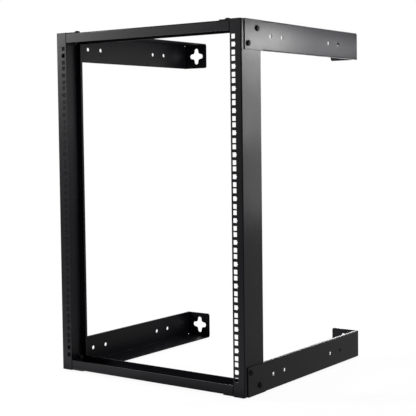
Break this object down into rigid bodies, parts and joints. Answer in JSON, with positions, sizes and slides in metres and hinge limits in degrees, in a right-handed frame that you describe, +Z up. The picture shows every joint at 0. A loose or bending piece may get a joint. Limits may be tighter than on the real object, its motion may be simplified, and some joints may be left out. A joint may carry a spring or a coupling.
{
  "type": "wall mount rack",
  "caption": "Open-frame wall mount rack: two punched channel posts and two crossbars carried by four folded wall brackets.",
  "frame": {"origin": "centre of the footprint on the floor, at the underside of the lower crossbar screw heads", "axes": "+X to the right seen from the front, +Y back towards the wall, +Z up; the rails face -Y"},
  "size_m": [0.5184, 0.488, 0.7784],
  "materials": {
    "powder_coated_steel": "satin",
    "black_screw_steel": "satin"
  },
  "bodies": {
    "root": {"left_post": "powder_coated_steel", "right_post": "powder_coated_steel", "bottom_crossbar": "powder_coated_steel", "top_crossbar": "powder_coated_steel", "bottom_left_bracket": "powder_coated_steel", "bottom_right_bracket": "powder_coated_steel", "top_left_bracket": "powder_coated_steel", "top_right_bracket": "powder_coated_steel", "bottom_left_rear_screw": "black_screw_steel", "bottom_left_rear_nut": "black_screw_steel", "bottom_left_front_screw": "black_screw_steel", "bottom_left_front_nut": "black_screw_steel", "bottom_left_bar_screw": "black_screw_steel", "bottom_left_bar_nut": "black_screw_steel", "bottom_right_rear_screw": "black_screw_steel", "bottom_right_rear_nut": "black_screw_steel", "bottom_right_front_screw": "black_screw_steel", "bottom_right_front_nut": "black_screw_steel", "bottom_right_bar_screw": "black_screw_steel", "bottom_right_bar_nut": "black_screw_steel", "top_left_rear_screw": "black_screw_steel", "top_left_rear_nut": "black_screw_steel", "top_left_front_screw": "black_screw_steel", "top_left_front_nut": "black_screw_steel", "top_left_bar_screw": "black_screw_steel", "top_left_bar_nut": "black_screw_steel", "top_right_rear_screw": "black_screw_steel", "top_right_rear_nut": "black_screw_steel", "top_right_front_screw": "black_screw_steel", "top_right_front_nut": "black_screw_steel", "top_right_bar_screw": "black_screw_steel", "top_right_bar_nut": "black_screw_steel"}
  },
  "joints": []
}
